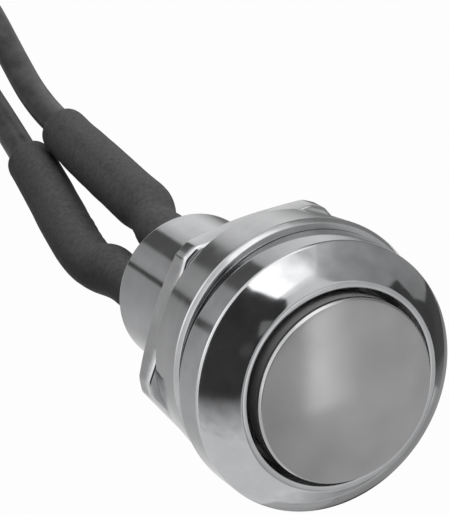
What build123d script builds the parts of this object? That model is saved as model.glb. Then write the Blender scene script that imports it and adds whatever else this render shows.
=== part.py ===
"""Momentary panel pushbutton with a domed cap, a chromed bezel and two flying leads."""
import os
from math import radians, sqrt, tan

from build123d import *

os.makedirs("parts", exist_ok=True)

# Driving dimensions in millimetres.
# Z is the push axis and z = 0 is where the head seats on its panel.

# Head, which covers the panel hole by its seat width
seat_width = 3.0
rim_height = 2.4
rim_round = 0.22
lip_height = 4.8
lip_width = 0.48
lip_inner_round = 0.22
lip_outer_round = 0.5
bevel_bulge = 0.16
well_diameter = 15.85
well_floor = 0.8

# Shank and barrel
shank_diameter = 16.0
shank_length = 9.4
shank_chamfer = 0.5
barrel_diameter = 13.2
barrel_length = 21.5
rolled_edge_height = 1.1
rolled_edge_overlap = 0.4
rolled_edge_round = 0.45
guide_diameter = 8.4
guide_depth = 5.2
base_step = 0.4

# Clamping pieces on the shank
gasket_thickness = 0.25
gasket_inset = 0.7
gasket_play = 0.06
collar_overhang = 0.17
collar_taper = 0.6
collar_length = 5.35
collar_round = 0.6
collar_rear_chamfer = 0.25
collar_play = 0.95
collar_shift_x = -0.55
collar_shift_y = -0.68
nut_inset = 0.39
nut_thickness = 2.8
nut_face_inset = 0.15
nut_corner_reach = 1.22
nut_chamfer_angle = 30.0
nut_turn = 17.5
nut_play = 0.3
nut_shift_x = -0.24

# Button and plunger
cap_gap = 0.48
cap_edge_height = 2.25
cap_edge_round = 0.25
dome_height = 0.9
cap_socket_diameter = 5.0
cap_socket_depth = 1.6
button_stand = 1.05
travel = 2.0
slide_gap = 0.1
stop_gap = 0.05
flange_thickness = 1.3
flange_gap = 0.2
lower_stem_diameter = 6.0
tip_diameter = 1.6
tip_length = 1.0
oring_section = 1.1
oring_gap = 0.05
oring_depth = 1.6
groove_play = 0.2

# Return spring
spring_wire = 0.7
spring_gap = 0.3
spring_turns = 7

# Contacts, from the base upwards
insulator_thickness = 0.8
base_thickness = 2.6
pilot_height = 0.4
pilot_gap = 0.2
contact_height = 0.8
contact_diameter = 2.0
touch_gap = 0.05
contact_clear = 0.5
disc_gap = 0.3
disc_thickness = 0.4
disc_dish = 0.25
clip_diameter = 3.2
clip_thickness = 0.3
fit_gap = 0.05

# Terminals
terminal_spacing = 5.2
terminal_shank_diameter = 1.5
swage_diameter = 2.4
swage_thickness = 0.4
tail_diameter = 1.2
tail_length = 3.6
solder_diameter = 2.2
solder_start = 0.5
solder_length = 4.5

# Leads
lead_diameter = 2.9
sleeve_wall = 0.68
sleeve_gap = 0.05
sleeve_start = 0.1
tinned_diameter = 1.5
tinned_length = 6.0
arc_share = 0.45

# Radii, and heights along the axis, worked out from the sizes above
shank_radius = shank_diameter / 2
rim_radius = shank_radius + seat_width
well_radius = well_diameter / 2
lip_radius = well_radius + lip_width
barrel_radius = barrel_diameter / 2
terminal_x = terminal_spacing / 2
spring_bore_radius = terminal_x + contact_diameter / 2 + contact_clear
spring_radius = spring_bore_radius + spring_wire / 2
chamber_radius = spring_bore_radius + spring_wire + spring_gap
disc_radius = spring_bore_radius - disc_gap
guide_radius = guide_diameter / 2
base_seat_radius = chamber_radius + base_step
rolled_edge_radius = base_seat_radius - rolled_edge_overlap
gasket_radius = rim_radius - gasket_inset
collar_front_radius = rim_radius + collar_overhang
collar_rear_radius = collar_front_radius - collar_taper
collar_bore_radius = shank_radius + collar_play
nut_flat_radius = collar_rear_radius - nut_inset
nut_face_radius = nut_flat_radius - nut_face_inset
nut_corner_radius = nut_flat_radius + nut_corner_reach
nut_chamfer_height = (nut_corner_radius - nut_face_radius) * tan(radians(nut_chamfer_angle))
cap_radius = well_radius - cap_gap
insulator_rear = -barrel_length + rolled_edge_height
base_rear = insulator_rear + insulator_thickness
base_top = base_rear + base_thickness
contact_top = base_top + pilot_height + contact_height
disc_under = contact_top + travel + touch_gap
disc_top = disc_under + disc_dish + disc_thickness
flange_top = -guide_depth - stop_gap
flange_under = flange_top - flange_thickness
cap_edge_top = lip_height + button_stand
cap_under = cap_edge_top - cap_edge_height
tail_end = insulator_rear - swage_thickness - tail_length
lead_start = insulator_rear - swage_thickness - solder_start - solder_length
sleeve_top = insulator_rear - swage_thickness - sleeve_start
collar_front = -gasket_thickness
collar_rear = collar_front - collar_length
nut_rear = collar_rear - nut_thickness


def rings(part, radius, height):
    """Circular edges of a part with this radius at this height."""
    found = part.edges().filter_by(GeomType.CIRCLE)
    found = found.filter_by(lambda edge: abs(edge.radius - radius) < 1e-4)
    return found.filter_by(lambda edge: abs(edge.arc_center.Z - height) < 1e-4)


def upright(x, y):
    """Section plane and turning axis of a piece that stands at x and y."""
    section = Plane(origin=(x, y, 0), x_dir=(1, 0, 0), z_dir=(0, -1, 0))
    return section, Axis((x, y, 0), (0, 0, 1))


def keep(builder, name):
    """Labels a finished piece and writes it."""
    builder.part.label = name
    export_step(builder.part, f"parts/{name}.step")


# Bezel, shank and barrel, one turned piece
bevel_top = (lip_radius, lip_height)
bevel_foot = (rim_radius, rim_height)
with BuildPart() as bezel_body:
    with BuildSketch(Plane.XZ):
        with BuildLine():
            SagittaArc(bevel_foot, bevel_top, -bevel_bulge)
            Polyline(
                bevel_top,
                (well_radius, lip_height),
                (well_radius, well_floor),
                (guide_radius, well_floor),
                (guide_radius, -guide_depth),
                (chamber_radius, -guide_depth),
                (chamber_radius, base_top),
                (base_seat_radius, base_top),
                (base_seat_radius, insulator_rear),
                (rolled_edge_radius, insulator_rear),
                (rolled_edge_radius, -barrel_length),
                (barrel_radius, -barrel_length),
                (barrel_radius, -shank_length),
                (shank_radius, -shank_length),
                (shank_radius, 0),
                (rim_radius, 0),
                bevel_foot,
            )
        make_face()
    revolve(axis=Axis.Z)
    fillet(rings(bezel_body, lip_radius, lip_height), lip_outer_round)
    fillet(rings(bezel_body, well_radius, lip_height), lip_inner_round)
    fillet(rings(bezel_body, rim_radius, rim_height), rim_round)
    fillet(rings(bezel_body, rim_radius, 0), rim_round)
    fillet(rings(bezel_body, barrel_radius, -barrel_length), rolled_edge_round)
    chamfer(rings(bezel_body, shank_radius, -shank_length), shank_chamfer)
keep(bezel_body, "bezel_body")

# Gasket under the head
with BuildPart() as panel_gasket:
    with BuildSketch(Plane.XY.offset(-gasket_thickness)):
        Circle(gasket_radius)
        Circle(shank_radius + gasket_play, mode=Mode.SUBTRACT)
    extrude(amount=gasket_thickness)
keep(panel_gasket, "panel_gasket")

# Spacer collar, flared towards the panel, loose on the shank and resting to one side by its play
collar_section, collar_axis = upright(collar_shift_x, collar_shift_y)
with BuildPart() as spacer_collar:
    with BuildSketch(collar_section):
        Polygon(
            (collar_bore_radius, collar_front),
            (collar_front_radius, collar_front),
            (collar_rear_radius, collar_rear),
            (collar_bore_radius, collar_rear),
            align=None,
        )
    revolve(axis=collar_axis)
    fillet(rings(spacer_collar, collar_front_radius, collar_front), collar_round)
    chamfer(rings(spacer_collar, collar_rear_radius, collar_rear), collar_rear_chamfer)
keep(spacer_collar, "spacer_collar")

# Thin hexagonal nut, its corners turned off on both faces, slack on the thread
nut_section, nut_axis = upright(nut_shift_x, 0)
with BuildPart() as hex_nut:
    with BuildSketch(Plane.XY.offset(nut_rear)):
        with Locations((nut_shift_x, 0)):
            RegularPolygon(nut_flat_radius, 6, major_radius=False, rotation=nut_turn)
            Circle(shank_radius + nut_play, mode=Mode.SUBTRACT)
    extrude(amount=nut_thickness)
    with BuildSketch(nut_section):
        Polygon(
            (0, collar_rear),
            (nut_face_radius, collar_rear),
            (nut_corner_radius, collar_rear - nut_chamfer_height),
            (nut_corner_radius, nut_rear + nut_chamfer_height),
            (nut_face_radius, nut_rear),
            (0, nut_rear),
            align=None,
        )
    revolve(axis=nut_axis, mode=Mode.INTERSECT)
keep(hex_nut, "hex_nut")

# Domed button cap with a blind socket for the plunger
dome_top = cap_edge_top + dome_height
dome_radius = (cap_radius**2 + dome_height**2) / (2 * dome_height)
dome_centre = dome_top - dome_radius
dome_mid = (cap_radius / 2, dome_centre + sqrt(dome_radius**2 - (cap_radius / 2) ** 2))
with BuildPart() as button_cap:
    with BuildSketch(Plane.XZ):
        with BuildLine():
            ThreePointArc((cap_radius, cap_edge_top), dome_mid, (0, dome_top))
            Polyline(
                (0, dome_top),
                (0, cap_under + cap_socket_depth),
                (cap_socket_diameter / 2, cap_under + cap_socket_depth),
                (cap_socket_diameter / 2, cap_under),
                (cap_radius, cap_under),
                (cap_radius, cap_edge_top),
            )
        make_face()
    revolve(axis=Axis.Z)
    fillet(rings(button_cap, cap_radius, cap_edge_top), cap_edge_round)
keep(button_cap, "button_cap")

# Plunger: spigot, sliding stem with a seal groove, stop flange, lower stem and tip
stem_radius = guide_radius - slide_gap
groove_radius = guide_radius - oring_gap - oring_section
groove_height = oring_section + groove_play
groove_middle = -oring_depth
spigot_top = cap_under + cap_socket_depth - fit_gap
with BuildPart() as plunger:
    with BuildSketch(Plane.XZ):
        Polygon(
            (0, spigot_top),
            (cap_socket_diameter / 2, spigot_top),
            (cap_socket_diameter / 2, cap_under),
            (stem_radius, cap_under),
            (stem_radius, groove_middle + groove_height / 2),
            (groove_radius, groove_middle + groove_height / 2),
            (groove_radius, groove_middle - groove_height / 2),
            (stem_radius, groove_middle - groove_height / 2),
            (stem_radius, flange_top),
            (chamber_radius - flange_gap, flange_top),
            (chamber_radius - flange_gap, flange_under),
            (lower_stem_diameter / 2, flange_under),
            (lower_stem_diameter / 2, disc_top),
            (tip_diameter / 2, disc_top),
            (tip_diameter / 2, disc_top - tip_length),
            (0, disc_top - tip_length),
            align=None,
        )
    revolve(axis=Axis.Z)
keep(plunger, "plunger")

# O-ring in the plunger's groove
with BuildPart() as plunger_oring:
    with BuildSketch(Plane.XZ):
        with Locations((groove_radius + oring_section / 2, groove_middle)):
            Circle(oring_section / 2)
    revolve(axis=Axis.Z)
keep(plunger_oring, "plunger_oring")

# Return spring with ends ground flat on the flange and the base
spring_length = flange_under - base_top
spring_pitch = (spring_length - spring_wire / 2) / spring_turns
with BuildPart() as return_spring:
    with BuildLine(Plane.XY.offset(base_top + spring_wire / 4)) as coil:
        Helix(spring_pitch, spring_length - spring_wire / 2, spring_radius)
    with BuildSketch(Plane(origin=coil.line @ 0, z_dir=coil.line % 0)):
        Circle(spring_wire / 2)
    sweep(is_frenet=True)
    with BuildSketch(Plane.XY.offset(base_top)):
        Circle(chamber_radius)
    extrude(amount=spring_length, mode=Mode.INTERSECT)
keep(return_spring, "return_spring")

# Dished contact disc, clipped on the plunger's tip with its rim towards the contacts
disc_hole_radius = tip_diameter / 2 + fit_gap
disc_centre = disc_under + disc_dish
with BuildPart() as contact_disc:
    with BuildSketch(Plane.XZ):
        Polygon(
            (disc_hole_radius, disc_centre),
            (clip_diameter / 2, disc_centre),
            (disc_radius, disc_under),
            (disc_radius, disc_under + disc_thickness),
            (clip_diameter / 2, disc_top),
            (disc_hole_radius, disc_top),
            align=None,
        )
    revolve(axis=Axis.Z)
keep(contact_disc, "contact_disc")

# Push-on clip under the disc
with BuildPart() as contact_clip:
    with BuildSketch(Plane.XY.offset(disc_centre - clip_thickness)):
        Circle(clip_diameter / 2)
        Circle(tip_diameter / 2, mode=Mode.SUBTRACT)
    extrude(amount=clip_thickness)
keep(contact_clip, "contact_clip")

# Moulded base with a pilot for the spring, and the fibre disc behind it
terminal_places = [(-terminal_x, 0), (terminal_x, 0)]
terminal_hole_radius = terminal_shank_diameter / 2 + fit_gap
with BuildPart() as contact_base:
    with BuildSketch(Plane.XY.offset(base_rear)):
        Circle(base_seat_radius - fit_gap)
    extrude(amount=base_thickness)
    with BuildSketch(Plane.XY.offset(base_top)):
        Circle(spring_bore_radius - pilot_gap)
    extrude(amount=pilot_height)
    with Locations(Plane.XY.offset(base_top + pilot_height)):
        with Locations(*terminal_places):
            Hole(terminal_hole_radius)
keep(contact_base, "contact_base")

with BuildPart() as rear_insulator:
    with BuildSketch(Plane.XY.offset(insulator_rear)):
        Circle(base_seat_radius - fit_gap)
        with Locations(*terminal_places):
            Circle(terminal_hole_radius, mode=Mode.SUBTRACT)
    extrude(amount=insulator_thickness)
keep(rear_insulator, "rear_insulator")

# Routes of the leads, from the soldered joints down
left_route = [
    (-terminal_x, 0, lead_start),
    (-terminal_x, 0, -30.2),
    (-4.1, 0, -36.2),
    (-5.1, 0, -44.6),
    (-5.8, 0, -53.4),
    (-7.0, -0.4, -63.6),
    (-9.7, -1.6, -71.6),
    (-12.5, -3.3, -78.4),
    (-15.0, -4.8, -87.5),
    (-16.6, -5.6, -101.0),
    (-17.2, -5.8, -116.0),
    (-17.3, -5.6, -131.0),
]
right_route = [
    (terminal_x, 0, lead_start),
    (terminal_x, 0, -32.0),
    (3.25, -0.1, -38.6),
    (1.4, -0.1, -46.7),
    (-0.5, 0, -54.2),
    (-3.4, 0.1, -67.4),
    (-5.7, 0.1, -78.4),
    (-8.6, -0.1, -90.4),
    (-10.6, -0.2, -103.4),
    (-11.5, 0, -117.2),
    (-11.5, 0.3, -130.6),
]


def bend_radii(route):
    """Radius at each corner of a route, as large as its two runs allow."""
    points = [Vector(*point) for point in route]
    radii = []
    for before, corner, after in zip(points, points[1:], points[2:]):
        run_in = corner - before
        run_out = after - corner
        half_turn = radians(run_in.get_angle(run_out) / 2)
        radii.append(arc_share * min(run_in.length, run_out.length) / tan(half_turn))
    return radii


# The same pieces on both sides: terminal, soldered joint, lead, sleeve and tinned end.
# The sleeve ends half way along the run that starts at its last point.
sides = [("left", left_route, 4), ("right", right_route, 4)]
for (side, route, sleeve_last), (centre_x, centre_y) in zip(sides, terminal_places):
    radii = bend_radii(route)
    print(side, "bend radii", [round(radius, 1) for radius in radii])
    section, axis = upright(centre_x, centre_y)
    swage_rear = insulator_rear - swage_thickness

    with BuildPart() as terminal:
        with BuildSketch(section):
            Polygon(
                (0, contact_top),
                (contact_diameter / 2, contact_top),
                (contact_diameter / 2, base_top + pilot_height),
                (terminal_shank_diameter / 2, base_top + pilot_height),
                (terminal_shank_diameter / 2, insulator_rear),
                (swage_diameter / 2, insulator_rear),
                (swage_diameter / 2, swage_rear),
                (tail_diameter / 2, swage_rear),
                (tail_diameter / 2, tail_end),
                (0, tail_end),
                align=None,
            )
        revolve(axis=axis)
    keep(terminal, f"terminal_{side}")

    solder_top = swage_rear - solder_start
    with BuildPart() as solder:
        with BuildSketch(section):
            with BuildLine():
                belly = ThreePointArc(
                    (tail_diameter / 2 + fit_gap, solder_top),
                    (solder_diameter / 2, solder_top - solder_length / 2),
                    (tail_diameter / 2 + fit_gap, lead_start),
                )
                Polyline(belly @ 1, (0, lead_start), (0, tail_end), (tail_diameter / 2, tail_end))
                Polyline((tail_diameter / 2, tail_end), (tail_diameter / 2, solder_top), belly @ 0)
            make_face()
        revolve(axis=axis)
    keep(solder, f"solder_{side}")

    with BuildPart() as lead:
        with BuildLine() as lead_path:
            FilletPolyline(*route, radius=radii)
        with BuildSketch(Plane(origin=lead_path.line @ 0, z_dir=lead_path.line % 0)):
            Circle(lead_diameter / 2)
        sweep()
    keep(lead, f"lead_{side}")

    sleeve_end = (Vector(*route[sleeve_last]) + Vector(*route[sleeve_last + 1])) / 2
    sleeve_route = [(centre_x, centre_y, sleeve_top), *route[1:sleeve_last + 1], sleeve_end]
    sleeve_bore = lead_diameter / 2 + sleeve_gap
    with BuildPart() as sleeve:
        with BuildLine() as sleeve_path:
            FilletPolyline(*sleeve_route, radius=radii[:sleeve_last])
        with BuildSketch(Plane(origin=sleeve_path.line @ 0, z_dir=sleeve_path.line % 0)):
            Circle(sleeve_bore + sleeve_wall)
            Circle(sleeve_bore, mode=Mode.SUBTRACT)
        sweep()
    keep(sleeve, f"sleeve_{side}")

    with BuildPart() as tinned_end:
        with BuildSketch(Plane(origin=lead_path.line @ 1, z_dir=lead_path.line % 1)):
            Circle(tinned_diameter / 2)
        extrude(amount=tinned_length)
    keep(tinned_end, f"tinned_end_{side}")
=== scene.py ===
import math

import bmesh
import bpy
from mathutils import Matrix, Quaternion, Vector, noise


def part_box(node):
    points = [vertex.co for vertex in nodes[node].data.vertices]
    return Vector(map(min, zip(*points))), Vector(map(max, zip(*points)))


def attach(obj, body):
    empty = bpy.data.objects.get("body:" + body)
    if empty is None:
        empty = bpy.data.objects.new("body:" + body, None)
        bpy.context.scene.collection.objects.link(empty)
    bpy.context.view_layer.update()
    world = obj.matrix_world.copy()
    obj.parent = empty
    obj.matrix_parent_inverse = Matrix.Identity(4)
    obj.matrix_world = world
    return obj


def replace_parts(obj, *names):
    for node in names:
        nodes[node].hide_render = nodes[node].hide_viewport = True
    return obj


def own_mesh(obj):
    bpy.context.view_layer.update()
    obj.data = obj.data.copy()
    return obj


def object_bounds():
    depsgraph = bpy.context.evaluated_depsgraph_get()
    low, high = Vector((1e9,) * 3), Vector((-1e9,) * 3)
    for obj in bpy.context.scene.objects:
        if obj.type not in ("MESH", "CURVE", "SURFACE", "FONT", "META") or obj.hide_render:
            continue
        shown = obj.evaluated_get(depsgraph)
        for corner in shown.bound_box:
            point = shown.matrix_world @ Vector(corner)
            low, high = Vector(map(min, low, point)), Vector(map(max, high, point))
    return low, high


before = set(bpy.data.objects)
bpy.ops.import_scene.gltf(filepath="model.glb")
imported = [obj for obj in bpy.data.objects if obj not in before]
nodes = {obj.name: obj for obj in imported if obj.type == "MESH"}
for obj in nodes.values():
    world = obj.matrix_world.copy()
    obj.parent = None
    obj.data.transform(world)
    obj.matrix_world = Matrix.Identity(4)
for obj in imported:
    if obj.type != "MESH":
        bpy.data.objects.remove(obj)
cadLow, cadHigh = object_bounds()
scene = bpy.context.scene
scene.view_settings.view_transform = "Standard"
mm = 0.001
print("frame loaded,", len(nodes), "nodes")


# camera, as the picture was taken: 449 x 515, long side on the 36 mm sensor
cameraSet = {
    "aim": (-0.003764, -0.009690, -0.003652),
    "distance": 0.19183,
    "elevation": 57.995,
    "roll": 121.89,
    "lens": 174.76,
    "nearest": 0.01,
}


def placeCamera():
    tilt = math.radians(cameraSet["elevation"])
    look = Vector((0, math.cos(tilt), -math.sin(tilt)))
    roll = Quaternion((0, 0, 1), math.radians(cameraSet["roll"]))
    lensData = bpy.data.cameras.new("photoCamera")
    lensData.lens = cameraSet["lens"]
    lensData.clip_start = cameraSet["nearest"]
    camera = bpy.data.objects.new("photoCamera", lensData)
    camera.location = Vector(cameraSet["aim"]) - look * cameraSet["distance"]
    camera.rotation_mode = "QUATERNION"
    camera.rotation_quaternion = look.to_track_quat("-Z", "Y") @ roll
    scene.collection.objects.link(camera)
    scene.camera = camera


placeCamera()
print("camera placed")


# finishes, one node tree each
def startFinish(name):
    finish = bpy.data.materials.new(name)
    finish.use_nodes = True
    tree = finish.node_tree
    shader = tree.nodes["Principled BSDF"]
    where = tree.nodes.new("ShaderNodeTexCoord")
    return finish, tree, shader, where.outputs["Object"]


def addNoise(tree, where, scale, detail=3.0, rough=0.5, stretch=None):
    grain = tree.nodes.new("ShaderNodeTexNoise")
    grain.inputs["Scale"].default_value = scale
    grain.inputs["Detail"].default_value = detail
    grain.inputs["Roughness"].default_value = rough
    if stretch:
        turn = tree.nodes.new("ShaderNodeMapping")
        turn.inputs["Scale"].default_value = stretch
        tree.links.new(where, turn.inputs["Vector"])
        where = turn.outputs["Vector"]
    tree.links.new(where, grain.inputs["Vector"])
    return grain.outputs["Fac"]


def addRange(tree, value, low, high, fromLow=0.3, fromHigh=0.7):
    spread = tree.nodes.new("ShaderNodeMapRange")
    spread.inputs["From Min"].default_value = fromLow
    spread.inputs["From Max"].default_value = fromHigh
    spread.inputs["To Min"].default_value = low
    spread.inputs["To Max"].default_value = high
    tree.links.new(value, spread.inputs["Value"])
    return spread.outputs["Result"]


def addMost(tree, most, *others):
    # the largest of these values
    for value in others:
        pick = tree.nodes.new("ShaderNodeMath")
        pick.operation = "MAXIMUM"
        tree.links.new(most, pick.inputs[0])
        tree.links.new(value, pick.inputs[1])
        most = pick.outputs[0]
    return most


def addTones(tree, value, dark, light, low=0.3, high=0.7):
    tones = tree.nodes.new("ShaderNodeValToRGB")
    tones.color_ramp.elements[0].position = low
    tones.color_ramp.elements[0].color = (*dark, 1)
    tones.color_ramp.elements[1].position = high
    tones.color_ramp.elements[1].color = (*light, 1)
    tree.links.new(value, tones.inputs["Fac"])
    return tones.outputs["Color"]


def addBump(tree, height, depth, strength=1.0, under=None):
    bump = tree.nodes.new("ShaderNodeBump")
    bump.inputs["Strength"].default_value = strength
    bump.inputs["Distance"].default_value = depth
    tree.links.new(height, bump.inputs["Height"])
    if under:
        tree.links.new(under, bump.inputs["Normal"])
    return bump.outputs["Normal"]


# bright chrome plating: a slight swim in the reflections, handling haze and hairline scratches
def chromeFinish(name, plating):
    finish, tree, shader, where = startFinish(name)
    haze = addNoise(tree, where, plating["hazeScale"], detail=4.0, rough=0.6)
    tint = addTones(tree, haze, plating["dark"], plating["light"])
    hair = addNoise(tree, where, plating["hairScale"], detail=2.0, stretch=(1.0, 0.04, 0.3))
    swim = addNoise(tree, where, plating["swimScale"], detail=1.0, rough=0.4)
    tree.links.new(tint, shader.inputs["Base Color"])
    tree.links.new(addRange(tree, haze, *plating["roughness"]), shader.inputs["Roughness"])
    soft = addBump(tree, swim, plating["swimDepth"])
    tree.links.new(addBump(tree, hair, plating["hairDepth"], under=soft), shader.inputs["Normal"])
    shader.inputs["Metallic"].default_value = 1.0
    return finish


# satin blasted metal: fine even grain, no mirror left
def satinFinish(name, satin):
    finish, tree, shader, where = startFinish(name)
    cloud = addNoise(tree, where, satin["cloudScale"], rough=0.55)
    grain = addNoise(tree, where, satin["grainScale"], detail=2.0, rough=0.7)
    tree.links.new(addTones(tree, cloud, satin["dark"], satin["light"]), shader.inputs["Base Color"])
    tree.links.new(addRange(tree, grain, *satin["roughness"]), shader.inputs["Roughness"])
    tree.links.new(addBump(tree, grain, satin["grainDepth"]), shader.inputs["Normal"])
    shader.inputs["Metallic"].default_value = 1.0
    return finish


# rubber, shrunk tube, cable skin and mouldings: mottled colour and a fine skin
def skinFinish(name, skin):
    finish, tree, shader, where = startFinish(name)
    mottle = addNoise(tree, where, skin["mottleScale"], detail=4.0, rough=0.6)
    grain = addNoise(tree, where, skin["grainScale"], rough=0.6, stretch=skin.get("stretch"))
    tree.links.new(addTones(tree, mottle, skin["dark"], skin["light"]), shader.inputs["Base Color"])
    tree.links.new(addRange(tree, grain, *skin["roughness"]), shader.inputs["Roughness"])
    lumps = addBump(tree, mottle, skin["lumpDepth"])
    tree.links.new(addBump(tree, grain, skin["grainDepth"], under=lumps), shader.inputs["Normal"])
    shader.inputs["Specular IOR Level"].default_value = skin["gloss"]
    return finish


# mesh makers
def shownMesh(name, body, slot, finish, mesh, *replaced):
    piece = bpy.data.objects.new(name, mesh)
    scene.collection.objects.link(piece)
    mesh.materials.append(finish)
    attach(piece, body)
    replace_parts(piece, *replaced)
    return piece


def roundOff(corners, steps=5):
    line = []
    count = len(corners)
    for i, (x, z, r) in enumerate(corners):
        here = Vector((x, z))
        if r == 0:
            line.append(here)
            continue
        toLast = (Vector(corners[i - 1][:2]) - here).normalized()
        toNext = (Vector(corners[(i + 1) % count][:2]) - here).normalized()
        half = toLast.angle(toNext) / 2
        centre = here + (toLast + toNext).normalized() * (r / math.sin(half))
        first = here + toLast * (r / math.tan(half)) - centre
        last = here + toNext * (r / math.tan(half)) - centre
        for k in range(steps + 1):
            line.append(centre + first.lerp(last, k / steps).normalized() * r)
    return line


def squared(across, ahead):
    # what is left of across, square to ahead
    return (across - ahead * across.dot(ahead)).normalized()


def bridge(made, rows, closed=False):
    # faces from each ring of points to the next
    for a, b in zip(rows, rows[1:] + rows[:1] if closed else rows[1:]):
        for k in range(len(a)):
            n = (k + 1) % len(a)
            made.faces.new((a[k], a[n], b[n], b[k]))


def toMesh(name, made, sharp=35):
    # smooth all over, apart from edges sharper than this many degrees
    bmesh.ops.recalc_face_normals(made, faces=made.faces)
    mesh = bpy.data.meshes.new(name)
    made.to_mesh(mesh)
    made.free()
    mesh.shade_smooth()
    mesh.set_sharp_from_angle(angle=math.radians(sharp))
    return mesh


def turned(name, profile, segments, offset=(0, 0), ripple=None):
    # spins a closed section round Z; ripple cuts a thread into it
    made = bmesh.new()
    rows = []
    for point in profile:
        row = []
        for k in range(segments):
            turn = 2 * math.pi * k / segments
            radius = point.x - (ripple(point.x, point.y, turn) if ripple else 0)
            row.append(made.verts.new((
                (offset[0] + radius * math.cos(turn)) * mm,
                (offset[1] + radius * math.sin(turn)) * mm,
                point.y * mm,
            )))
        rows.append(row)
    bridge(made, rows, closed=True)
    bmesh.ops.remove_doubles(made, verts=made.verts, dist=1e-7)
    bmesh.ops.dissolve_degenerate(made, edges=made.edges, dist=1e-8)
    return toMesh(name, made)


def evenNormals(piece):
    even = piece.modifiers.new("evenNormals", "WEIGHTED_NORMAL")
    even.keep_sharp = True
    even.weight = 80


# the two leads: flexible cable skin on one open spline each
leadSet = {
    "diameter": 0.0029,
    "smooth": 14,
    "around": 8,
    "routes": {
        "left": [
            (-0.0026, 0, -0.0258),
            (-0.0026, 0, -0.0302),
            (-0.0041, 0, -0.0362),
            (-0.0051, 0, -0.0446),
            (-0.0058, 0, -0.0534),
            (-0.0070, -0.0004, -0.0636),
            (-0.0097, -0.0016, -0.0716),
            (-0.0125, -0.0033, -0.0784),
            (-0.0150, -0.0048, -0.0875),
            (-0.0166, -0.0056, -0.1010),
            (-0.0172, -0.0058, -0.1160),
            (-0.0173, -0.0056, -0.1310),
        ],
        "right": [
            (0.0026, 0, -0.0258),
            (0.0026, 0, -0.0320),
            (0.00325, -0.0001, -0.0386),
            (0.0014, -0.0001, -0.0467),
            (-0.0005, 0, -0.0542),
            (-0.0034, 0.0001, -0.0674),
            (-0.0057, 0.0001, -0.0784),
            (-0.0086, -0.0001, -0.0904),
            (-0.0106, -0.0002, -0.1034),
            (-0.0115, 0, -0.1172),
            (-0.0115, 0.0003, -0.1306),
        ],
    },
    "finish": {
        "dark": (0.030, 0.030, 0.031), "light": (0.070, 0.070, 0.071),
        "mottleScale": 620.0, "grainScale": 5200.0,
        "roughness": (0.30, 0.42), "lumpDepth": 4e-5, "grainDepth": 6e-6, "gloss": 0.12,
    },
}


def makeLead(side):
    route = leadSet["routes"][side]
    line = bpy.data.curves.new("lead" + side.title(), "CURVE")
    line.dimensions = "3D"
    spline = line.splines.new("NURBS")
    spline.points.add(len(route) - 1)
    for point, place in zip(spline.points, route):
        point.co = (*place, 1)
    spline.order_u = 3
    spline.use_endpoint_u = True
    line.resolution_u = leadSet["smooth"]
    line.bevel_depth = leadSet["diameter"] / 2
    line.bevel_resolution = leadSet["around"]
    line.use_fill_caps = True
    lead = bpy.data.objects.new("lead" + side.title(), line)
    scene.collection.objects.link(lead)
    line.materials.append(leadFinish)
    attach(lead, "switch_body")
    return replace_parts(lead, "lead_" + side)


def spineOf(lead):
    plain = lead.data.copy()
    plain.bevel_depth = 0
    holder = bpy.data.objects.new("spine", plain)
    mesh = bpy.data.meshes.new_from_object(holder)
    points = [vert.co.copy() for vert in mesh.vertices]
    bpy.data.objects.remove(holder)
    bpy.data.meshes.remove(mesh)
    bpy.data.curves.remove(plain)
    return points


def stepsAlong(points, spacing):
    # even steps on the line through these points: place and direction
    walk = [0.0]
    for a, b in zip(points, points[1:]):
        walk.append(walk[-1] + (b - a).length)
    count = max(2, round(walk[-1] / spacing))
    steps = []
    k = 0
    for i in range(count + 1):
        want = walk[-1] * i / count
        while k < len(points) - 2 and walk[k + 1] < want:
            k += 1
        share = (want - walk[k]) / (walk[k + 1] - walk[k])
        steps.append((points[k].lerp(points[k + 1], share), want))
    placed = []
    for i, (place, want) in enumerate(steps):
        ahead = steps[min(i + 1, count)][0] - steps[max(i - 1, 0)][0]
        placed.append((place, ahead.normalized(), want))
    return placed


# heat-shrink sleeves: a loose tube drawn down on the joint, soft shoulders at both ends
sleeveSet = {
    "top": -0.0209,
    "ends": {"left": -0.0568, "right": -0.0600},
    "radius": 2.18 * mm,
    "bore": 1.46 * mm,
    "shoulder": {"top": 0.5 * mm, "end": 0.65 * mm},
    "lumps": 0.06 * mm,
    "lumpSize": 3.2 * mm,
    "folds": {  # where, how far it reaches, how deep, how many a millimetre, which way it faces
        "left": (11.5 * mm, 2.4 * mm, 0.05 * mm, 0.8, (1, 0, 0)),
        "right": (21.5 * mm, 2.6 * mm, 0.10 * mm, 0.7, (-1, 0, 0)),
    },
    "swells": {  # where the joint inside fills it out or it draws in: where, reach, height, which way
        "left": [
            (10.7 * mm, 1.6 * mm, -0.45 * mm, (-1, 0, 0)),
            (13.7 * mm, 3.4 * mm, 0.42 * mm, (-1, 0, 0)),
            (12.3 * mm, 2.2 * mm, -0.52 * mm, (1, 0, 0)),
            (24.0 * mm, 14.0 * mm, 0.6 * mm, (1, 0, 0)),
        ],
        "right": [
            (10.4 * mm, 3.0 * mm, -0.24 * mm, (1, 0, 0)),
            (13.2 * mm, 1.8 * mm, 0.35 * mm, (-1, 0, 0)),
            (16.0 * mm, 1.3 * mm, -0.22 * mm, (-1, 0, 0)),
            (31.0 * mm, 14.0 * mm, 0.45 * mm, (-1, 0, 0)),
        ],
    },
    "around": 48,
    "spacing": 0.4 * mm,
    "sharp": 60,
    "finish": {
        "dark": (0.048, 0.048, 0.049), "light": (0.080, 0.080, 0.081),
        "mottleScale": 2600.0, "grainScale": 7000.0,
        "roughness": (0.52, 0.68), "lumpDepth": 8e-6, "grainDepth": 8e-6, "gloss": 0.05,
    },
}


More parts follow.
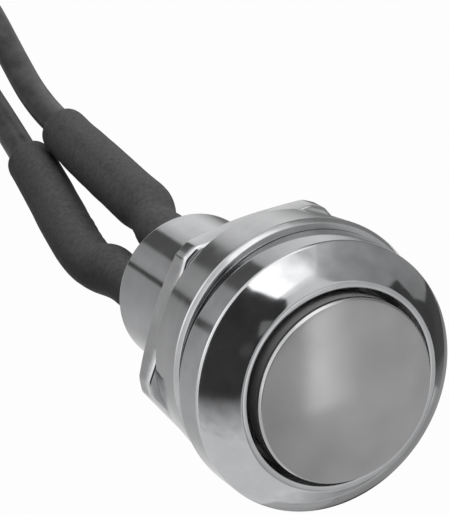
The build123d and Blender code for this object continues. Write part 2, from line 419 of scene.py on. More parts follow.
def makeSleeve(side, spine):
    radius, bore, shoulder = (sleeveSet[k] for k in ("radius", "bore", "shoulder"))
    foldAt, foldReach, foldDepth, foldRate, foldSide = sleeveSet["folds"][side]
    points = [Vector((spine[0].x, spine[0].y, sleeveSet["top"]))]
    points += [point for point in spine if point.z > sleeveSet["ends"][side]]
    steps = stepsAlong(points, sleeveSet["spacing"])
    total = steps[-1][2]
    made = bmesh.new()
    rows = []
    across = Vector((1, 0, 0))
    for place, ahead, walked in steps:
        across = squared(across, ahead)
        beside = ahead.cross(across)
        inset = 0.0  # quarter round at each end
        for gone, r in ((walked, shoulder["top"]), (total - walked, shoulder["end"])):
            if gone < r:
                inset = max(inset, r - math.sqrt(r * r - (r - gone) ** 2))
        fold = foldDepth * math.cos(2 * math.pi * foldRate * (walked - foldAt) / mm)
        fold *= math.exp(-(((walked - foldAt) / foldReach) ** 2))
        raised = [(fold, foldSide)]
        for at, reach, height, way in sleeveSet["swells"][side]:
            raised.append((height * math.exp(-(((walked - at) / reach) ** 2)), way))
        row = []
        for k in range(sleeveSet["around"]):
            turn = 2 * math.pi * k / sleeveSet["around"]
            out = across * math.cos(turn) + beside * math.sin(turn)
            lump = sleeveSet["lumps"] * noise.noise((place + out * radius) / sleeveSet["lumpSize"])
            rise = sum(height * max(0.0, out.dot(Vector(way))) for height, way in raised)
            row.append(made.verts.new(place + out * (radius - inset + lump + rise)))
        rows.append(row)
    mouths = []  # the end faces run in to the cable skin
    for row, (place, ahead, walked) in ((rows[0], steps[0]), (rows[-1], steps[-1])):
        mouths.append([made.verts.new(place + (vert.co - place).normalized() * bore) for vert in row])
    bridge(made, [mouths[0]] + rows + [mouths[1]])
    mesh = toMesh("sleeve" + side.title(), made, sleeveSet["sharp"])
    return shownMesh(mesh.name, "switch_body", "heat_shrink", sleeveFinish, mesh, "sleeve_" + side)


# tinned ends: the bared strands twisted and dipped
tinSet = {
    "radius": 0.75 * mm,
    "length": 6.0 * mm,
    "strands": 7,
    "groove": 0.16,
    "twist": 0.9,
    "tip": 0.5 * mm,
    "blunt": 0.55,
    "around": 84,
    "rows": 40,
    "sharp": 50,
    "finish": {
        "dark": (0.42, 0.42, 0.40), "light": (0.62, 0.61, 0.59),
        "cloudScale": 900.0, "grainScale": 6000.0,
        "roughness": (0.24, 0.42), "grainDepth": 4e-6,
    },
}


def makeTin(side, spine):
    start, ahead = spine[-1], (spine[-1] - spine[-2]).normalized()
    across = squared(Vector((1, 0, 0)), ahead)
    beside = ahead.cross(across)
    made = bmesh.new()
    rows = []
    for i in range(tinSet["rows"] + 1):
        walked = tinSet["length"] * i / tinSet["rows"]
        left = min(1.0, (tinSet["length"] - walked) / tinSet["tip"])
        blunt = tinSet["blunt"] + (1 - tinSet["blunt"]) * math.sqrt(1 - (1 - left) ** 2)
        row = []
        for k in range(tinSet["around"]):
            turn = 2 * math.pi * k / tinSet["around"]
            lay = turn - tinSet["twist"] * walked / mm
            strand = 1 - tinSet["groove"] * (1 - abs(math.cos(tinSet["strands"] * lay / 2)))
            out = across * math.cos(turn) + beside * math.sin(turn)
            row.append(made.verts.new(start + ahead * walked + out * tinSet["radius"] * blunt * strand))
        rows.append(row)
    bridge(made, rows)
    made.faces.new(rows[0])
    made.faces.new(rows[-1])
    mesh = toMesh("tinnedEnd" + side.title(), made, tinSet["sharp"])
    return shownMesh(mesh.name, "switch_body", "tinned_copper", tinFinish, mesh, "tinned_end_" + side)


leadFinish = skinFinish("leadSkin", leadSet["finish"])
sleeveFinish = skinFinish("shrunkTube", sleeveSet["finish"])
tinFinish = satinFinish("tinnedStrands", tinSet["finish"])
for side in ("left", "right"):
    lead = makeLead(side)
    spine = spineOf(lead)
    onLead = [makeSleeve(side, spine), makeTin(side, spine)]


# bezel, shank and barrel: one turned and plated piece, threaded on the shank
bezelSet = {  # millimetres: radius and height, the lip by outer radius, inner radius and height
    "rim": (11.0, 2.4), "rimRound": 0.45, "skirt": (10.4, -0.64), "skirtRounds": (0.12, 0.05),
    "lip": (8.405, 7.925, 4.8), "lipRounds": (0.1, 0.5), "bulge": 0.16, "bevelSteps": 14,
    "wellFloor": 0.8, "wellRound": 0.3, "guide": (4.2, -5.2), "guideRound": 0.15,
    "shank": (8.0, -9.4), "shankChamfer": 0.5, "neckRound": 0.1,
    "barrel": (6.6, -21.5), "barrelRound": 0.45, "stepRound": 0.2,
    "chamber": 5.1, "seat": (5.5, -17.0), "rolled": (5.1, -20.4), "rolledRound": 0.2,
    "thread": {  # root and flank are shares of the depth, cut off flat at 0 and 1
        "pitch": 1.0, "depth": 0.55, "root": 1.18, "flank": 2.6,
        "start": -0.9, "runOut": 0.8, "clear": 0.02, "steps": 10,
    },
    "segments": 192,
    "plating": {
        "dark": (0.42, 0.424, 0.432), "light": (0.50, 0.505, 0.515),
        "hazeScale": 260.0, "hairScale": 5200.0, "swimScale": 420.0,
        "roughness": (0.06, 0.13), "swimDepth": 1.2e-5, "hairDepth": 4e-7,
    },
    "well": {"radius": 7.97 * mm, "floor": 0.7 * mm, "top": 4.66 * mm, "shade": (0.72, 0.72, 0.726)},
}


def bezelLine():
    rim, lip, shank, barrel = (bezelSet[k] for k in ("rim", "lip", "shank", "barrel"))
    guide, seat, rolled, skirt = (bezelSet[k] for k in ("guide", "seat", "rolled", "skirt"))
    thread, steps = bezelSet["thread"], bezelSet["bevelSteps"]
    foot, head = Vector(rim), Vector((lip[0], lip[2]))
    out = Vector((head.y - foot.y, foot.x - head.x)).normalized()
    corners = [
        (guide[0], bezelSet["wellFloor"], bezelSet["guideRound"]),
        (lip[1], bezelSet["wellFloor"], bezelSet["wellRound"]),
        (lip[1], lip[2], bezelSet["lipRounds"][0]),
    ]
    ends = {0: bezelSet["rimRound"], steps: bezelSet["lipRounds"][1]}
    for k in range(steps, -1, -1):  # the bevel bellies out between lip and rim
        t = k / steps
        place = foot.lerp(head, t) + out * bezelSet["bulge"] * 4 * t * (1 - t)
        corners.append((place.x, place.y, ends.get(k, 0)))
    corners += [
        (rim[0], skirt[1], bezelSet["skirtRounds"][0]),
        (skirt[0], skirt[1], bezelSet["skirtRounds"][1]),
        (skirt[0], 0, 0),
        (shank[0], 0, bezelSet["neckRound"]),
    ]
    z = thread["start"]
    while z > shank[1] + thread["clear"]:
        corners.append((shank[0], z, 0))
        z -= thread["pitch"] / thread["steps"]
    corners += [
        (shank[0], shank[1], 0),
        (barrel[0], shank[1], bezelSet["stepRound"]),
        (barrel[0], barrel[1], bezelSet["barrelRound"]),
        (rolled[0], barrel[1], bezelSet["rolledRound"]),
        (rolled[0], rolled[1], 0),
        (seat[0], rolled[1], 0),
        (seat[0], seat[1], 0),
        (bezelSet["chamber"], seat[1], 0),
        (bezelSet["chamber"], guide[1], 0),
        (guide[0], guide[1], bezelSet["guideRound"]),
    ]
    return roundOff(corners)


def threadCut(radius, z, turn):
    shank, thread = bezelSet["shank"], bezelSet["thread"]
    if abs(radius - shank[0]) > 1e-6 or z > thread["start"]:
        return 0
    phase = (z / thread["pitch"] - turn / (2 * math.pi)) % 1.0
    groove = thread["root"] - abs(phase - 0.5) * thread["flank"]
    groove = min(1.0, max(0.0, groove))
    runOut = min(1.0, (thread["start"] - z) / thread["runOut"])
    taper = max(0.0, bezelSet["shankChamfer"] - (z - shank[1]))
    return max(thread["depth"] * groove * runOut, taper)


fadeSet = {"radius": 2e-5, "top": 1e-4, "floor": 1e-5}  # half the width of each border, in metres


def dullAndPaintedShadeBand(finish, band):
    # inside the radius, from floor to top, the metal is dull and has one flat colour; on the button
    # cap's side this colour is a dark painted shade
    tree = finish.node_tree
    shader = tree.nodes["Principled BSDF"]
    split = tree.nodes.new("ShaderNodeSeparateXYZ")
    tree.links.new(tree.nodes["Texture Coordinate"].outputs["Object"], split.inputs["Vector"])
    flat = tree.nodes.new("ShaderNodeCombineXYZ")
    tree.links.new(split.outputs["X"], flat.inputs["X"])
    tree.links.new(split.outputs["Y"], flat.inputs["Y"])
    span = tree.nodes.new("ShaderNodeVectorMath")
    span.operation = "LENGTH"
    tree.links.new(flat.outputs["Vector"], span.inputs[0])
    edges = [
        ("radius", span.outputs["Value"], 0.0, 1.0),
        ("top", split.outputs["Z"], 0.0, 1.0),
        ("floor", split.outputs["Z"], 1.0, 0.0),
    ]
    bright = addMost(tree, *(
        addRange(tree, value, low, high, band[edge] - fadeSet[edge], band[edge] + fadeSet[edge])
        for edge, value, low, high in edges
    ))
    dim = tree.nodes.new("ShaderNodeMix")
    dim.data_type = "RGBA"
    dim.inputs["A"].default_value = (*band["shade"], 1)
    tree.links.new(bright, dim.inputs["Factor"])
    tree.links.new(shader.inputs["Base Color"].links[0].from_socket, dim.inputs["B"])
    tree.links.new(dim.outputs["Result"], shader.inputs["Base Color"])
    tree.links.new(bright, shader.inputs["Metallic"])


chromeBody = chromeFinish("bezelChrome", bezelSet["plating"])
dullAndPaintedShadeBand(chromeBody, bezelSet["well"])
bezel = shownMesh(
    "bezelBody", "switch_body", "chrome_body", chromeBody,
    turned("bezelBody", bezelLine(), bezelSet["segments"], ripple=threadCut),
    "bezel_body",
)
evenNormals(bezel)
print("bezel turned")


# spacer collar: flared ring, loose on the shank and slipped to one side
collarSet = {  # millimetres: radius and height
    "bore": 8.95, "seat": (9.3, -0.25), "front": (10.8, -0.72),
    "flare": (11.058, -1.25), "rear": (10.57, -5.6), "shift": (-0.55, -0.5),
    "boreRound": 0.12, "seatRound": 0.1, "frontRound": 0.12, "flareRound": 0.5, "rearRound": 0.25,
    "roundSteps": 8, "segments": 192,
    "plating": {
        "dark": (0.38, 0.383, 0.39), "light": (0.46, 0.464, 0.472),
        "hazeScale": 310.0, "hairScale": 4700.0, "swimScale": 520.0,
        "roughness": (0.10, 0.19), "swimDepth": 1.6e-5, "hairDepth": 6e-7,
    },
}


def collarLine():
    bore, seat, front, flare, rear = (collarSet[k] for k in ("bore", "seat", "front", "flare", "rear"))
    return roundOff([
        (bore, seat[1], collarSet["boreRound"]),
        (seat[0], seat[1], collarSet["seatRound"]),
        (seat[0], front[1], 0),
        (front[0], front[1], collarSet["frontRound"]),
        (flare[0], flare[1], collarSet["flareRound"]),
        (rear[0], rear[1], collarSet["rearRound"]),
        (bore, rear[1], collarSet["boreRound"]),
    ], collarSet["roundSteps"])


chromeCollar = chromeFinish("collarChrome", collarSet["plating"])
collar = shownMesh(
    "spacerCollar", "switch_body", "chrome_collar", chromeCollar,
    turned("spacerCollar", collarLine(), collarSet["segments"], collarSet["shift"]),
    "spacer_collar",
)
evenNormals(collar)
print("collar turned")


# thin hexagonal nut: corners turned off on both faces, slack on the thread
nutSet = {  # millimetres and degrees
    "flat": 10.18, "face": 10.03, "corner": 11.4, "front": -5.6, "rear": -8.4, "bore": 8.3,
    "shift": -0.24, "turn": 17.5, "chamfers": (6.0, 30.0),
    "boreRound": 0.15, "edgeRound": 0.35, "edgeShare": 0.8,
    "roundSteps": 4, "sideSteps": 48, "sharp": 18,
    "plating": {
        "dark": (0.44, 0.443, 0.45), "light": (0.53, 0.534, 0.542),
        "hazeScale": 420.0, "hairScale": 5600.0, "swimScale": 640.0,
        "roughness": (0.09, 0.17), "swimDepth": 1.4e-5, "hairDepth": 6e-7,
    },
}


def makeNut():
    flat, face, front, rear, bore = (nutSet[k] for k in ("flat", "face", "front", "rear", "bore"))
    slopes = [math.tan(math.radians(angle)) for angle in nutSet["chamfers"]]
    made = bmesh.new()
    rows = []
    halfSide = math.pi / 6
    count = 6 * nutSet["sideSteps"]
    for k in range(count):
        turn = 2 * math.pi * k / count
        off = (turn + halfSide) % (2 * halfSide) - halfSide  # from the middle of the nearest flat
        reach = min(flat / math.cos(off), nutSet["corner"])
        edge = min(nutSet["edgeRound"], nutSet["edgeShare"] * (reach - face))
        section = roundOff([
            (bore, front, nutSet["boreRound"]),
            (face, front, 0),
            (reach, front - slopes[0] * (reach - face), edge),
            (reach, rear + slopes[1] * (reach - face), edge),
            (face, rear, 0),
            (bore, rear, nutSet["boreRound"]),
        ], nutSet["roundSteps"])
        way = turn + math.radians(nutSet["turn"]) + halfSide
        rows.append([made.verts.new((
            (point.x * math.cos(way) + nutSet["shift"]) * mm,
            point.x * math.sin(way) * mm,
            point.y * mm,
        )) for point in section])
    bridge(made, rows, closed=True)
    mesh = toMesh("hexNut", made, nutSet["sharp"])
    nut = shownMesh("hexNut", "switch_body", "chrome_nut", chromeNut, mesh, "hex_nut")
    evenNormals(nut)


chromeNut = chromeFinish("nutChrome", nutSet["plating"])
makeNut()
print("nut cut")


# button cap: shallow satin dome with a narrow turned edge
capSet = {  # millimetres: edge inset and fall, socket radius and depth
    "radius": 7.445, "shoulder": 5.85, "edge": (0.13, 0.22), "dome": 0.9,
    "under": 3.6, "socket": (2.5, 1.6), "centre": 0.004,
    "edgeRounds": (0.08, 0.12), "underRound": 0.15, "roundSteps": 8,
    "domeSteps": 29, "domeClear": 0.3, "segments": 192,
    "finish": {
        "dark": (0.36, 0.36, 0.362), "light": (0.41, 0.41, 0.412),
        "cloudScale": 160.0, "grainScale": 9000.0,
        "roughness": (0.15, 0.19), "grainDepth": 2.5e-7,
    },
    # the cap's side down in the well: dull, with a dark painted shade for the gap between cap and well
    "side": {"radius": 9.0 * mm, "floor": 3.0 * mm, "top": 5.3 * mm, "shade": (0.16, 0.16, 0.162)},
}


def capLine():
    radius, dome, under, centre = (capSet[k] for k in ("radius", "dome", "under", "centre"))
    inset, fall = capSet["edge"]
    socket, depth = capSet["socket"]
    rim = radius - inset
    top = capSet["shoulder"] + dome
    bow = (radius**2 + dome**2) / (2 * dome)
    corners = [(centre, top, 0)]
    for k in range(1, capSet["domeSteps"]):
        x = radius * k / capSet["domeSteps"]
        if x < rim - capSet["domeClear"]:  # leaves room for the turned edge
            corners.append((x, top - bow + math.sqrt(bow**2 - x**2), 0))
    corners += [
        (rim, top - bow + math.sqrt(bow**2 - rim**2), capSet["edgeRounds"][0]),
        (radius, capSet["shoulder"] - fall, capSet["edgeRounds"][1]),
        (radius, under, capSet["underRound"]),
        (socket, under, 0),
        (socket, under + depth, 0),
        (centre, under + depth, 0),
    ]
    return roundOff(corners, capSet["roundSteps"])


satinCap = satinFinish("capSatin", capSet["finish"])
# painted shade: the cap's side below the edge is darkened where the gap lies in shadow
dullAndPaintedShadeBand(satinCap, capSet["side"])
cap = shownMesh(
    "buttonCap", "button", "satin_button", satinCap,
    turned("buttonCap", capLine(), capSet["segments"]),
    "button_cap",
)
evenNormals(cap)
print("cap turned")


# pieces that keep their own solids, each with its finish
rubberSet = {
    "dark": (0.010, 0.010, 0.010), "light": (0.020, 0.020, 0.020),
    "mottleScale": 1200.0, "grainScale": 6000.0,
    "roughness": (0.6, 0.75), "lumpDepth": 1e-5, "grainDepth": 8e-6, "gloss": 0.4,
}
plungerSet = {
    "dark": (0.62, 0.60, 0.55), "light": (0.70, 0.68, 0.63),
    "mottleScale": 500.0, "grainScale": 5000.0,
    "roughness": (0.38, 0.5), "lumpDepth": 6e-6, "grainDepth": 3e-6, "gloss": 0.5,
}
baseSet = {
    "dark": (0.030, 0.019, 0.013), "light": (0.052, 0.034, 0.024),
    "mottleScale": 1500.0, "grainScale": 6500.0,
    "roughness": (0.4, 0.55), "lumpDepth": 8e-6, "grainDepth": 4e-6, "gloss": 0.5,
}
fibreSet = {
    "dark": (0.016, 0.015, 0.014), "light": (0.035, 0.032, 0.029),
    "mottleScale": 2400.0, "grainScale": 4200.0, "stretch": (1.0, 0.12, 1.0),
    "roughness": (0.6, 0.8), "lumpDepth": 1e-5, "grainDepth": 1.2e-5, "gloss": 0.35,
}
springSet = {
    "dark": (0.40, 0.40, 0.41), "light": (0.50, 0.50, 0.51),
    "cloudScale": 700.0, "grainScale": 7000.0, "roughness": (0.2, 0.34), "grainDepth": 2e-6,
}
bronzeSet = {
    "dark": (0.52, 0.30, 0.14), "light": (0.66, 0.41, 0.21),
    "cloudScale": 600.0, "grainScale": 6400.0, "roughness": (0.22, 0.4), "grainDepth": 2e-6,
}
brassSet = {
    "dark": (0.58, 0.42, 0.17), "light": (0.72, 0.55, 0.26),
    "cloudScale": 800.0, "grainScale": 6400.0, "roughness": (0.2, 0.36), "grainDepth": 2e-6,
}
solderSet = {
    "dark": (0.38, 0.38, 0.37), "light": (0.56, 0.56, 0.55),
    "cloudScale": 1100.0, "grainScale": 5200.0, "roughness": (0.28, 0.5), "grainDepth": 6e-6,
}
springSteel = satinFinish("springSteel", springSet)
keptPieces = [
    ("black_rubber", skinFinish("blackRubber", rubberSet), ["panel_gasket", "plunger_oring"]),
    ("plunger_moulding", skinFinish("plungerMoulding", plungerSet), ["plunger"]),
    ("base_moulding", skinFinish("baseMoulding", baseSet), ["contact_base"]),
    ("fibre", skinFinish("pressedFibre", fibreSet), ["rear_insulator"]),
    ("spring_steel", springSteel, ["contact_clip"]),
    ("contact_bronze", satinFinish("contactBronze", bronzeSet), ["contact_disc"]),
    ("terminal_brass", satinFinish("terminalBrass", brassSet), ["terminal_left", "terminal_right"]),
    ("solder", satinFinish("solderJoint", solderSet), ["solder_left", "solder_right"]),
]
for slotName, finish, names in keptPieces:
    for name in names:
        piece = nodes[name]
        piece.data.materials.clear()
        piece.data.materials.append(finish)
print("kept pieces dressed")


# return spring: coiled wire with ground ends, built once at the length of the part's spring; nothing
# here shortens it as the button goes in
coilSet = {  # millimetres
    "radius": 4.45, "wire": 0.7, "turns": 7,
    "travel": 2.02,  # a hair over the button's own, so that it never touches the plunger
    "steps": 40, "around": 12, "sharp": 50,
}


def makeSpring():
    low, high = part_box("return_spring")
    foot, head = low.z / mm, high.z / mm
    radius, thick, turns = (coilSet[k] for k in ("radius", "wire", "turns"))
    climb = (head - foot - thick / 2) / turns
    made = bmesh.new()
    rows = []
    for i in range(turns * coilSet["steps"] + 1):
        turn = 2 * math.pi * i / coilSet["steps"]
        out = Vector((math.cos(turn), math.sin(turn), 0))
        ahead = Vector((-radius * out.y, radius * out.x, climb / (2 * math.pi))).normalized()
        place = out * radius + Vector((0, 0, foot + thick / 4 + climb * i / coilSet["steps"]))
        row = []
        for k in range(coilSet["around"]):
            roll = 2 * math.pi * k / coilSet["around"]
            point = place + (out * math.cos(roll) + out.cross(ahead) * math.sin(roll)) * thick / 2
            point.z = min(head, max(foot, point.z))  # ground flat
            row.append(made.verts.new(point * mm))
        rows.append(row)
    bridge(made, rows)
    made.faces.new(rows[0])
    made.faces.new(rows[-1])
    mesh = toMesh("returnSpring", made, coilSet["sharp"])
    spring = shownMesh("returnSpring", "switch_body", "spring_steel", springSteel, mesh, "return_spring")
    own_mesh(spring)
    print("spring coiled,", round(head - foot, 2), "mm long")


makeSpring()


# floor, cards and soft light
floorSet = {
    "size": 1.6, "sides": 96, "drop": 0.004,
    "shade": (0.62, 0.62, 0.62), "roughness": 0.9, "glow": 0.97,
}
roomSet = {"fill": 0.1}
paperSet = {"cloudScale": 7.0, "cloudDetail": 2.0, "glow": (0.84, 1.16)}
cards = [  # seen only in reflections: towards, distance, width runs along, outline, greys over the width
    (
        "cameraSideCard", (0.10, -0.75, 0.65), 0.45, (0.854, 0.402, 0.332),
        [
            (-1.01, -0.62), (0.1, -0.62), (0.63, -0.95), (1.1, -1.25), (2.2, -1.95),
            (2.2, 0.55), (0.4, 0.6), (-0.1, 0.70), (-0.24, 0.655),
            (-0.46, 0.56), (-0.52, 0.40), (-0.56, 0.22),
        ],
        [
            (-1.01, 0.045), (0.68, 0.06), (0.76, 0.085), (0.96, 0.365),
            (1.22, 0.615), (1.56, 0.79), (2.2, 0.92),
        ],
    ),
    (
        "keyCard", (-0.640, -0.640, 0.4255), 0.50, (0.776, -0.601, 0.191),
        [(-0.36, -0.30), (0.336, -0.30), (0.336, 0.30), (-0.36, 0.26)],
        [(-0.36, 0.95), (-0.27, 1.5), (-0.08, 1.95), (0.1, 2.4), (0.336, 2.4)],
    ),
    (
        "keyHaloCard", (-0.640, -0.640, 0.4255), 0.51, (0.776, -0.601, 0.191),
        [(-0.46, -0.36), (0.336, -0.36), (0.336, 0.37), (-0.44, 0.34)],
        [(-0.46, 0.95), (-0.32, 1.2), (0.336, 1.35)],
    ),
    (
        "smallSmudgeCard", (0.10, -0.75, 0.65), 0.43, (0.854, 0.402, 0.332),
        [(0.07, 0.05), (0.18, 0.0), (0.29, 0.10), (0.24, 0.21), (0.10, 0.20)],
        [(0.07, 0.08), (0.18, 0.11), (0.29, 0.08)],
    ),
    (
        "paleSmudgeCard", (0.10, -0.75, 0.65), 0.43, (0.854, 0.402, 0.332),
        [(-0.14, 0.25), (0.04, 0.25), (0.06, 0.46), (-0.12, 0.46)],
        [(-0.14, 0.28), (0.06, 0.28)],
    ),
    (
        "nearEdgeCard", (0.26, -0.966, 0), 0.50, (0.966, 0.26, 0),
        [(-1.2, -0.08), (1.2, -0.08), (1.2, 0.16), (-1.2, 0.16)],
        [(-1.2, 1.5), (-0.8, 1.6), (0.5, 1.5), (1.2, 0.95)],
    ),
    (
        "keyFootCard", (-0.76, -0.65, 0), 0.50, (0.65, -0.76, 0),
        [(-0.48, -0.20), (0.44, -0.20), (0.44, 0.14), (-0.48, 0.14)],
        [(-0.48, 1.0), (-0.2, 2.0), (0.2, 2.2), (0.44, 1.8)],
    ),
    (
        "nearSheet", (0, 0, -1), 0.1402, (1, 0, 0),
        [(-0.55, 0.86), (0.55, 0.86), (1.9, 1.5), (2.6, 3.4), (-1.6, 3.4), (-1.0, 1.5)],
        [(-1.6, 1.0), (-0.9, 1.1), (-0.4, 1.5), (0.0, 1.9), (0.8, 1.9), (1.5, 1.3), (2.6, 1.0)],
    ),
    (
        "farSideCard", (-0.42, 0.87, -0.10), 0.30, (-0.902, -0.432, 0),
        [
            (-0.33, -0.6), (0.20, -0.6), (0.23, 0.03), (0.355, 0.25), (0.52, 0.31), (0.62, 0.32),
            (0.68, 0.46), (0.72, 0.75), (0.45, 0.85), (-0.18, 0.45),
        ],
        [(-0.33, 0.29), (-0.285, 0.27), (-0.243, 0.23), (-0.196, 0.18), (-0.142, 0.09), (0.72, 0.07)],
    ),
    (
        "headCard", (-0.93, 0.28, 0.24), 0.40, (-0.288, -0.957, 0),
        [(-0.95, -0.55), (0.65, -0.55), (0.65, 0.55), (-0.95, 0.55)],
        [(-0.95, 0.26), (-0.65, 0.34), (-0.38, 0.38), (0.0, 0.42), (0.38, 0.55), (0.65, 0.8)],
    ),
    (
        "farGreyCard", (0, 1, 0), 0.60, (-1, 0, 0),
        [(-1.19, -0.233), (0.40, -0.233), (0.40, 0.25), (-1.19, 0.25)],
        [
            (-1.19, 1.0), (-0.84, 0.85), (-0.65, 0.62), (-0.5, 0.5),
            (-0.3, 0.47), (0.25, 0.45), (0.40, 0.38),
        ],
    ),
    (
        "farFootCard", (0, 0, -1), 0.140, (1, 0, 0),
        [(0.68, -1.46), (0.43, -1.54), (0.25, -1.43), (0.11, -1.07), (0.36, -1.0), (0.64, -1.25)],
        [(0.11, 0.14), (0.25, 0.1), (0.46, 0.055), (0.68, 0.055)],
    ),
    (
        "farSheet", (0, 0, -1), 0.1402, (0, 1, 0),
        [(0.74, -0.39), (3.78, -2.0), (4.07, 1.98), (0.80, 0.39)],
        [(0.74, 0.25), (1.0, 0.26), (1.24, 0.29), (1.6, 0.31), (2.0, 0.36), (2.9, 0.42), (4.07, 0.47)],
    ),
    (
        "rightSheet", (0, 0, -1), 0.1402, (1, 0, 0),
        [(0.39, -0.80), (1.98, -4.07), (4.28, -4.07), (1.0, -0.80)],
        [(0.39, 0.40), (1.05, 0.46), (1.95, 0.57), (4.28, 0.6)],
    ),
    (
        "headSheet", (0, 0, -1), 0.1402, (1, 0, 0),
        [(-0.78, -0.86), (-2.1, -4.2), (-4.2, -3.2), (-4.2, 1.4), (-0.93, 0.36)],
        [(-4.2, 0.38), (-0.78, 0.34)],
    ),
    (
        "topCard", (0, 0.53, 0.848), 0.50, (-0.654, 0.641, -0.401),
        [(-0.7, -0.8), (0.7, -0.8), (0.7, 0.8), (-0.7, 0.8)],
        [(-0.7, 0.5), (-0.24, 0.62), (0.1, 0.72), (0.7, 0.68)],
    ),
    (
        "buttonStripCard", (0, 0.53, 0.848), 0.48, (-0.654, 0.641, -0.401),
        [(-0.22, -0.10), (0.06, -0.04), (0.06, 0.50), (-0.20, 0.46)],
        [(-0.22, 1.15), (-0.14, 1.4), (-0.06, 1.2), (0.06, 0.76)],
    ),
]
lamps = [  # towards, distance, width, height, width runs along, watts
    ("sideBox", (-0.80, -0.16, 0.58), 0.45, 0.36, 0.36, (0.2, -0.98, 0), 0.7),
    ("keyBox", (-0.83, -0.53, 0.22), 0.45, 0.36, 0.36, (0.53, -0.83, 0), 1.9),
    ("backBox", (0.20, 0.94, 0.28), 0.45, 0.36, 0.36, (-0.97, 0.2, 0), 1.0),
]
turntableSet = {  # graded sheet round the foot of the stand, greys by azimuth, seen only in reflections
    "size": 0.115, "sides": 96, "lift": 0.0005,
    "greys": [
        (-180, 1.0), (-158, 1.0), (-146, 0.75), (-140, 0.62), (-136, 0.12), (-112, 0.13), (-107, 0.42),
        (-88, 0.47), (-79, 0.42), (-76, 0.08), (-72, 0.08), (-69, 0.40), (-38, 0.48), (-14, 0.57),
        (10, 0.63), (58, 0.78), (72, 0.70), (84, 0.50), (98, 0.44), (106, 0.25), (128, 0.22),
        (146, 0.6), (165, 0.95), (180, 1.0),
    ],
}


def facingIn(towards, distance, along):
    # this far out, turned to the middle
    back = Vector(towards).normalized()
    side = squared(Vector(along), back)
    faced = Matrix((side, back.cross(side), back)).transposed().to_4x4()
    return Matrix.Translation(back * distance) @ faced


def seenRays(tree):
    # 1 for what is looked at, straight, in a mirror or through glass
    light = tree.nodes.new("ShaderNodeLightPath")
    kinds = ("Is Camera Ray", "Is Glossy Ray", "Is Transmission Ray")
    return addMost(tree, *(light.outputs[kind] for kind in kinds))


def addDisc(name, disc, height):
    bpy.ops.mesh.primitive_circle_add(vertices=disc["sides"], radius=disc["size"], fill_type="NGON")
    flat = bpy.context.object
    flat.name = name
    flat.location.z = height
    return flat


def makeFloor():
    floor = addDisc("floor", floorSet, cadLow.z - floorSet["drop"])
    paint = bpy.data.materials.new("floorPaint")
    paint.use_nodes = True
    tree = paint.node_tree
    shader = tree.nodes["Principled BSDF"]
    shader.inputs["Base Color"].default_value = (*floorSet["shade"], 1)
    shader.inputs["Roughness"].default_value = floorSet["roughness"]
    shader.inputs["Specular IOR Level"].default_value = 0.0
    glow = tree.nodes.new("ShaderNodeEmission")
    share = tree.nodes.new("ShaderNodeMath")
    share.operation = "MULTIPLY"
    share.inputs[1].default_value = floorSet["glow"]
    mix = tree.nodes.new("ShaderNodeMixShader")
    tree.links.new(seenRays(tree), share.inputs[0])
    tree.links.new(share.outputs[0], mix.inputs["Fac"])
    tree.links.new(shader.outputs["BSDF"], mix.inputs[1])
    tree.links.new(glow.outputs["Emission"], mix.inputs[2])
    tree.links.new(mix.outputs["Shader"], tree.nodes["Material Output"].inputs["Surface"])
    floor.data.materials.append(paint)


def makeRoom():
    world = bpy.data.worlds.new("room")
    world.use_nodes = True
    scene.world = world
    tree = world.node_tree
    fill = tree.nodes["Background"]
    fill.inputs["Color"].default_value = (1, 1, 1, 1)
    fill.inputs["Strength"].default_value = roomSet["fill"]
    white = tree.nodes.new("ShaderNodeBackground")
    white.inputs["Color"].default_value = (1, 1, 1, 1)
    white.inputs["Strength"].default_value = 1.0
    mix = tree.nodes.new("ShaderNodeMixShader")
    tree.links.new(seenRays(tree), mix.inputs["Fac"])
    tree.links.new(fill.outputs["Background"], mix.inputs[1])
    tree.links.new(white.outputs["Background"], mix.inputs[2])
    tree.links.new(mix.outputs["Shader"], tree.nodes["World Output"].inputs["Surface"])


def reflectedOnly(card):
    card.visible_camera = False
    card.visible_diffuse = False
    card.visible_shadow = False


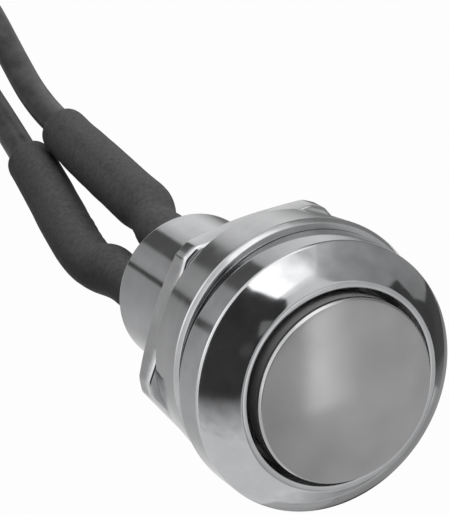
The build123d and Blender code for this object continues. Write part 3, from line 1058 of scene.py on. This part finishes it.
def greyGlow(name, mesh, greys):
    # paper that glows in greys along a value
    paper = bpy.data.materials.new(name)
    paper.use_nodes = True
    mesh.materials.append(paper)
    tree = paper.node_tree
    where = tree.nodes.new("ShaderNodeTexCoord").outputs["Object"]
    tones = tree.nodes.new("ShaderNodeValToRGB")
    stops = tones.color_ramp.elements
    first, last = greys[0][0], greys[-1][0]
    for stop, grey in zip(stops, (greys[0][1], greys[-1][1])):
        stop.color = (grey, grey, grey, 1)
    for place, grey in greys[1:-1]:
        stops.new((place - first) / (last - first)).color = (grey, grey, grey, 1)
    cloud = addNoise(tree, where, paperSet["cloudScale"], paperSet["cloudDetail"])
    glow = tree.nodes.new("ShaderNodeEmission")
    tree.links.new(tones.outputs["Color"], glow.inputs["Color"])
    tree.links.new(addRange(tree, cloud, *paperSet["glow"]), glow.inputs["Strength"])
    tree.links.new(glow.outputs["Emission"], tree.nodes["Material Output"].inputs["Surface"])
    return tree, where, tones.inputs["Fac"]


def makeCard(name, towards, distance, along, outline, greys):
    mesh = bpy.data.meshes.new(name)
    mesh.from_pydata([(x * distance, y * distance, 0) for x, y in outline], [], [range(len(outline))])
    card = bpy.data.objects.new(name, mesh)
    card.matrix_world = facingIn(towards, distance, along)
    scene.collection.objects.link(card)
    tree, where, place = greyGlow(name + "Paper", mesh, greys)
    across = tree.nodes.new("ShaderNodeSeparateXYZ")
    tree.links.new(where, across.inputs["Vector"])
    first, last = greys[0][0] * distance, greys[-1][0] * distance
    tree.links.new(addRange(tree, across.outputs["X"], 0.0, 1.0, first, last), place)
    reflectedOnly(card)


def makeTurntable():
    height = cadLow.z - floorSet["drop"] + turntableSet["lift"]
    sheet = addDisc("turntableSheet", turntableSet, height)
    tree, where, place = greyGlow("turntablePaper", sheet.data, turntableSet["greys"])
    around = tree.nodes.new("ShaderNodeTexGradient")
    around.gradient_type = "RADIAL"
    tree.links.new(where, around.inputs["Vector"])
    tree.links.new(around.outputs["Fac"], place)
    reflectedOnly(sheet)


def makeLamp(name, towards, distance, width, height, along, watts):
    box = bpy.data.lights.new(name, "AREA")
    box.shape = "RECTANGLE"
    box.size, box.size_y = width, height
    box.energy = watts
    lamp = bpy.data.objects.new(name, box)
    lamp.visible_glossy = False  # the cards stand for it in the plating
    lamp.matrix_world = facingIn(towards, distance, along)
    scene.collection.objects.link(lamp)


makeFloor()
makeRoom()
makeTurntable()
for card in cards:
    makeCard(*card)
for lamp in lamps:
    makeLamp(*lamp)
print("floor and light set")
